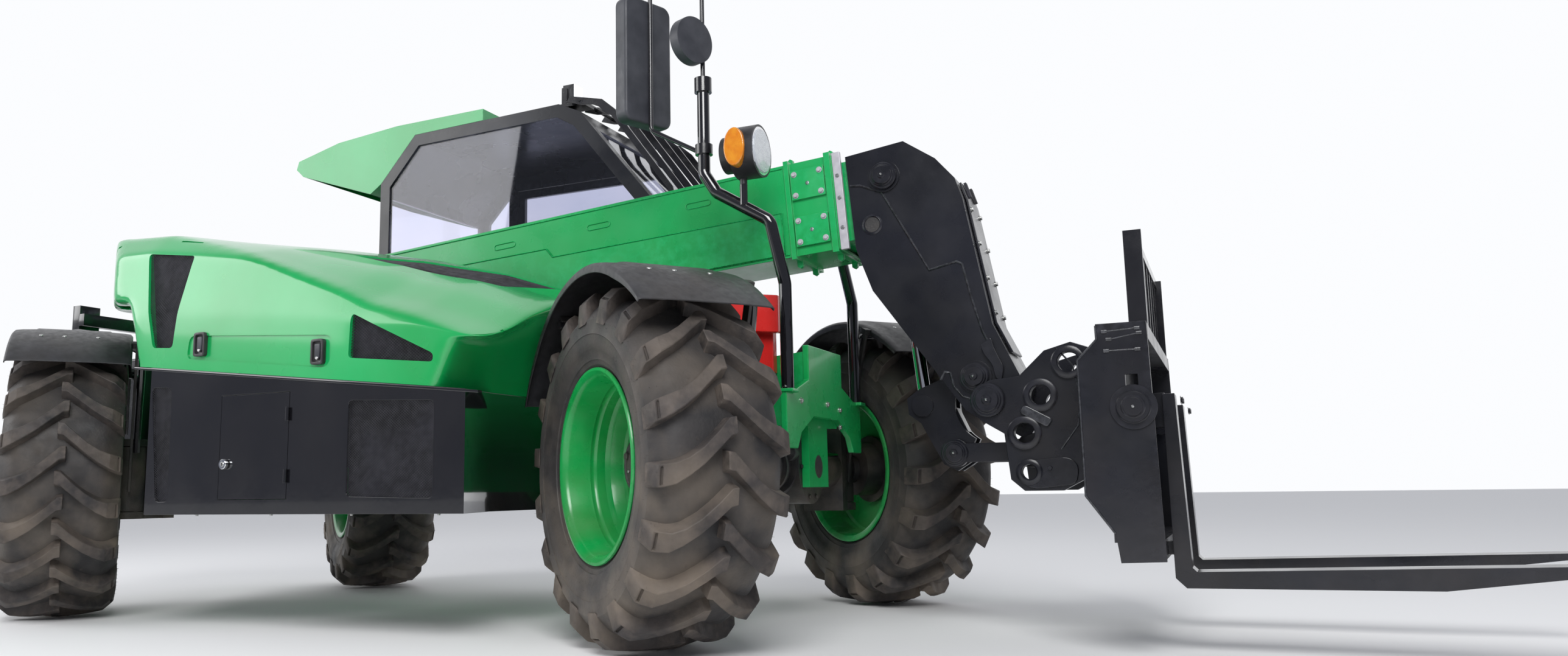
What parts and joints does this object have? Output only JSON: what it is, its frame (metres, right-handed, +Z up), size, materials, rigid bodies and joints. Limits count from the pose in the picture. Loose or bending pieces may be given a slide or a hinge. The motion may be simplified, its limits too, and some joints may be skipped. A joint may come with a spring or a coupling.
{
  "type": "telescopic handler with fork carriage",
  "caption": "Telescopic handler with a side cab, extending boom, gooseneck head and tilting fork carriage, its wheels turned for crab steering.",
  "frame": {"origin": "on the ground, midway between the two axles and the wheels' sides", "axes": "+X forward along the boom, +Y to the driver's left, +Z up"},
  "size_m": [6.4301, 2.7921, 2.519],
  "materials": {
    "green_paint": "gloss enamel",
    "black_paint": "gloss enamel",
    "satin_black": "satin enamel over welded plate",
    "red_paint": "gloss enamel",
    "tyre": "dusty rubber",
    "rim_green": "gloss enamel",
    "cast_iron": "painted casting",
    "chrome": "polished rod",
    "glass": "tinted safety glass",
    "black_plastic": "moulded plastic",
    "lamp": "lamp body with amber and clear lens",
    "seat_fabric": "woven cover",
    "steel": "zinc-plated steel",
    "green_plastic": "gloss moulded plastic",
    "pad_plastic": "slide pads"
  },
  "bodies": {
    "chassis": {"chassis_frame": "green_paint", "front_plate": "green_paint", "guard_posts": "black_paint", "boom_strut": "red_paint", "engine_block": "cast_iron", "counterweight": "cast_iron", "rear_lamps": "lamp", "service_box": "black_paint", "cab_frame": "black_paint", "cab_glass": "glass", "roof_cap": "green_plastic", "roof_guard": "black_paint", "dash_console": "black_plastic"},
    "front_axle": {"front_axle": "cast_iron"},
    "rear_axle": {"rear_axle": "cast_iron"},
    "outer_boom": {"outer_boom": "green_paint", "wear_pads": "pad_plastic"},
    "inner_boom": {"inner_boom": "green_paint", "boom_head": "satin_black"},
    "lift_barrel": {"lift_cylinder_barrel": "satin_black"},
    "lift_rod": {"lift_cylinder_rod": "chrome"},
    "tilt_barrel": {"tilt_cylinder_barrel": "green_paint"},
    "tilt_rod": {"tilt_cylinder_rod": "chrome"},
    "rocker": {"tilt_rocker": "satin_black"},
    "link": {"tilt_link": "satin_black"},
    "hitch": {"hitch": "satin_black", "fork_frame": "satin_black", "backrest": "satin_black"},
    "fork_right": {"fork_right": "satin_black"},
    "fork_left": {"fork_left": "satin_black"},
    "hood": {"hood": "green_plastic"},
    "service_door": {"service_door": "black_paint"},
    "hood_latch_rear": {"hood_latch_rear": "black_plastic"},
    "hood_latch_front": {"hood_latch_front": "black_plastic"},
    "cab_door": {"cab_door": "black_paint", "door_glass": "glass"},
    "mirror_arm": {"mirror_arm": "black_paint"},
    "big_mirror": {"big_mirror": "black_plastic"},
    "round_mirror": {"round_mirror": "black_plastic"},
    "headlamp": {"headlamp": "lamp"},
    "work_lamps": {"work_lamps": "black_plastic"},
    "steering_wheel": {"steering_wheel": "black_plastic"},
    "joystick": {"joystick": "black_plastic"},
    "seat": {"seat": "seat_fabric"},
    "knuckle_front_right": {"knuckle_front_right": "cast_iron", "fender_front_right": "black_plastic"},
    "wheel_front_right": {"tyre_front_right": "tyre", "rim_front_right": "rim_green"},
    "knuckle_front_left": {"knuckle_front_left": "cast_iron", "fender_front_left": "black_plastic"},
    "wheel_front_left": {"tyre_front_left": "tyre", "rim_front_left": "rim_green"},
    "knuckle_rear_right": {"knuckle_rear_right": "cast_iron", "fender_rear_right": "black_plastic"},
    "wheel_rear_right": {"tyre_rear_right": "tyre", "rim_rear_right": "rim_green"},
    "knuckle_rear_left": {"knuckle_rear_left": "cast_iron", "fender_rear_left": "black_plastic"},
    "wheel_rear_left": {"tyre_rear_left": "tyre", "rim_rear_left": "rim_green"}
  },
  "joints": [
    {"name": "front_axle_oscillation", "type": "hinge", "parent": "chassis", "child": "front_axle", "pos_m": [1.5, 0, 0.603], "axis": [1, 0, 0], "range_deg": [-5, 5]},
    {"name": "rear_axle_oscillation", "type": "hinge", "parent": "chassis", "child": "rear_axle", "pos_m": [-1.5, 0, 0.603], "axis": [1, 0, 0], "range_deg": [-5, 5]},
    {"name": "steer_front_right", "type": "hinge", "parent": "front_axle", "child": "knuckle_front_right", "pos_m": [1.5, -0.66, 0.603], "axis": [0, 0, 1], "range_deg": [0, 75]},
    {"name": "wheel_spin_front_right", "type": "hinge", "parent": "knuckle_front_right", "child": "wheel_front_right", "pos_m": [1.34781, -0.85834, 0.603], "axis": [0.6088, 0.7934, 0], "continuous": true},
    {"name": "steer_front_left", "type": "hinge", "parent": "front_axle", "child": "knuckle_front_left", "pos_m": [1.5, 0.66, 0.603], "axis": [0, 0, 1], "range_deg": [0, 75]},
    {"name": "wheel_spin_front_left", "type": "hinge", "parent": "knuckle_front_left", "child": "wheel_front_left", "pos_m": [1.65219, 0.85834, 0.603], "axis": [0.6088, 0.7934, 0], "continuous": true},
    {"name": "steer_rear_right", "type": "hinge", "parent": "rear_axle", "child": "knuckle_rear_right", "pos_m": [-1.5, -0.66, 0.603], "axis": [0, 0, 1], "range_deg": [0, 75]},
    {"name": "wheel_spin_rear_right", "type": "hinge", "parent": "knuckle_rear_right", "child": "wheel_rear_right", "pos_m": [-1.65219, -0.85834, 0.603], "axis": [0.6088, 0.7934, 0], "continuous": true},
    {"name": "steer_rear_left", "type": "hinge", "parent": "rear_axle", "child": "knuckle_rear_left", "pos_m": [-1.5, 0.66, 0.603], "axis": [0, 0, 1], "range_deg": [0, 75]},
    {"name": "wheel_spin_rear_left", "type": "hinge", "parent": "knuckle_rear_left", "child": "wheel_rear_left", "pos_m": [-1.34781, 0.85834, 0.603], "axis": [0.6088, 0.7934, 0], "continuous": true},
    {"name": "boom_lift", "type": "hinge", "parent": "chassis", "child": "outer_boom", "pos_m": [-1.7, 0, 1.44], "axis": [0, -1, 0], "range_deg": [-2, 60]},
    {"name": "lift_cylinder_swing", "type": "hinge", "parent": "chassis", "child": "lift_barrel", "pos_m": [-1.15, 0, 0.75], "axis": [0, -1, 0], "range_deg": [-2.5, 58.5]},
    {"name": "lift_cylinder_stroke", "type": "slide", "parent": "lift_barrel", "child": "lift_rod", "axis": [0.9639, 0, 0.2663], "range_m": [-0.031, 0.9]},
    {"name": "boom_extend", "type": "slide", "parent": "outer_boom", "child": "inner_boom", "axis": [0.9973, 0, 0.0732], "range_m": [0, 2.2]},
    {"name": "carriage_tilt", "type": "hinge", "parent": "inner_boom", "child": "hitch", "pos_m": [2.36, 0, 0.82], "axis": [0, 1, 0], "range_deg": [-15, 52]},
    {"name": "rocker_swing", "type": "hinge", "parent": "inner_boom", "child": "rocker", "pos_m": [2.31, 0, 0.91], "axis": [0, 1, 0], "range_deg": [-12, 60]},
    {"name": "link_swing", "type": "hinge", "parent": "rocker", "child": "link", "pos_m": [2.21, 0, 0.64], "axis": [0, 1, 0], "range_deg": [-16, 4]},
    {"name": "tilt_cylinder_swing", "type": "hinge", "parent": "inner_boom", "child": "tilt_barrel", "pos_m": [2, 0, 1.7], "axis": [0, 1, 0], "range_deg": [-5, 2]},
    {"name": "tilt_cylinder_stroke", "type": "slide", "parent": "tilt_barrel", "child": "tilt_rod", "axis": [0.1017, 0, -0.9948], "range_m": [-0.23, 0.05]},
    {"name": "fork_right_slide", "type": "slide", "parent": "hitch", "child": "fork_right", "axis": [0, 1, 0], "range_m": [-0.15, 0.2]},
    {"name": "fork_left_slide", "type": "slide", "parent": "hitch", "child": "fork_left", "axis": [0, 1, 0], "range_m": [-0.2, 0.25]},
    {"name": "hood_lift", "type": "hinge", "parent": "chassis", "child": "hood", "pos_m": [-0.2, -0.33, 1.7], "axis": [-1, 0, 0], "range_deg": [0, 50]},
    {"name": "service_door_swing", "type": "hinge", "parent": "chassis", "child": "service_door", "pos_m": [-0.037, -1.1275, 0.7], "axis": [0, 0, 1], "range_deg": [0, 100]},
    {"name": "hood_latch_rear_turn", "type": "hinge", "parent": "hood", "child": "hood_latch_rear", "pos_m": [-0.52, -1.12, 1.16], "axis": [-1, 0, 0], "range_deg": [0, 35]},
    {"name": "hood_latch_front_turn", "type": "hinge", "parent": "hood", "child": "hood_latch_front", "pos_m": [0.1, -1.12, 1.09], "axis": [-1, 0, 0], "range_deg": [0, 35]},
    {"name": "cab_door_swing", "type": "hinge", "parent": "chassis", "child": "cab_door", "pos_m": [-0.545, 1.11, 1.4], "axis": [0, 0, 1], "range_deg": [0, 95]},
    {"name": "mirror_arm_swing", "type": "hinge", "parent": "chassis", "child": "mirror_arm", "pos_m": [1.38, -0.45, 2], "axis": [0, 0, 1], "range_deg": [-40, 40]},
    {"name": "big_mirror_turn", "type": "hinge", "parent": "mirror_arm", "child": "big_mirror", "pos_m": [1.15, -0.45, 2.2], "axis": [0, 0, 1], "range_deg": [-15, 15]},
    {"name": "round_mirror_turn", "type": "hinge", "parent": "mirror_arm", "child": "round_mirror", "pos_m": [1.38, -0.45, 2.24], "axis": [0, 0, 1], "range_deg": [-40, 40]},
    {"name": "headlamp_turn", "type": "hinge", "parent": "chassis", "child": "headlamp", "pos_m": [1.545, -0.455, 1.66], "axis": [0, 0, 1], "range_deg": [-40, 40]},
    {"name": "work_lamps_tilt", "type": "hinge", "parent": "chassis", "child": "work_lamps", "pos_m": [0.3, 0, 2.462], "axis": [0, 1, 0], "range_deg": [-20, 30]},
    {"name": "steering_wheel_turn", "type": "hinge", "parent": "chassis", "child": "steering_wheel", "pos_m": [0.33, 0.65, 1.44], "axis": [-0.3379, 0, 0.9412], "continuous": true},
    {"name": "joystick_tilt", "type": "hinge", "parent": "chassis", "child": "joystick", "pos_m": [-0.15, 0.312, 1.1322], "axis": [0, 1, 0], "range_deg": [-18, 18], "stiffness_Nm_per_rad": 3},
    {"name": "seat_slide", "type": "slide", "parent": "chassis", "child": "seat", "axis": [1, 0, 0], "range_m": [-0.05, 0.1]}
  ],
  "couplings": [
    {"joint": "steer_front_left", "follows": "steer_front_right", "ratio": 1},
    {"joint": "steer_rear_left", "follows": "steer_rear_right", "ratio": 1},
    {"joint": "lift_cylinder_swing", "follows": "boom_lift", "ratio": 0.9645},
    {"joint": "lift_cylinder_stroke", "follows": "boom_lift", "m_per_rad": 0.83843},
    {"joint": "rocker_swing", "follows": "carriage_tilt", "ratio": 0.72596},
    {"joint": "link_swing", "follows": "carriage_tilt", "ratio": -0.15192},
    {"joint": "tilt_cylinder_swing", "follows": "carriage_tilt", "ratio": -0.01058},
    {"joint": "tilt_cylinder_stroke", "follows": "carriage_tilt", "m_per_rad": -0.16946}
  ]
}
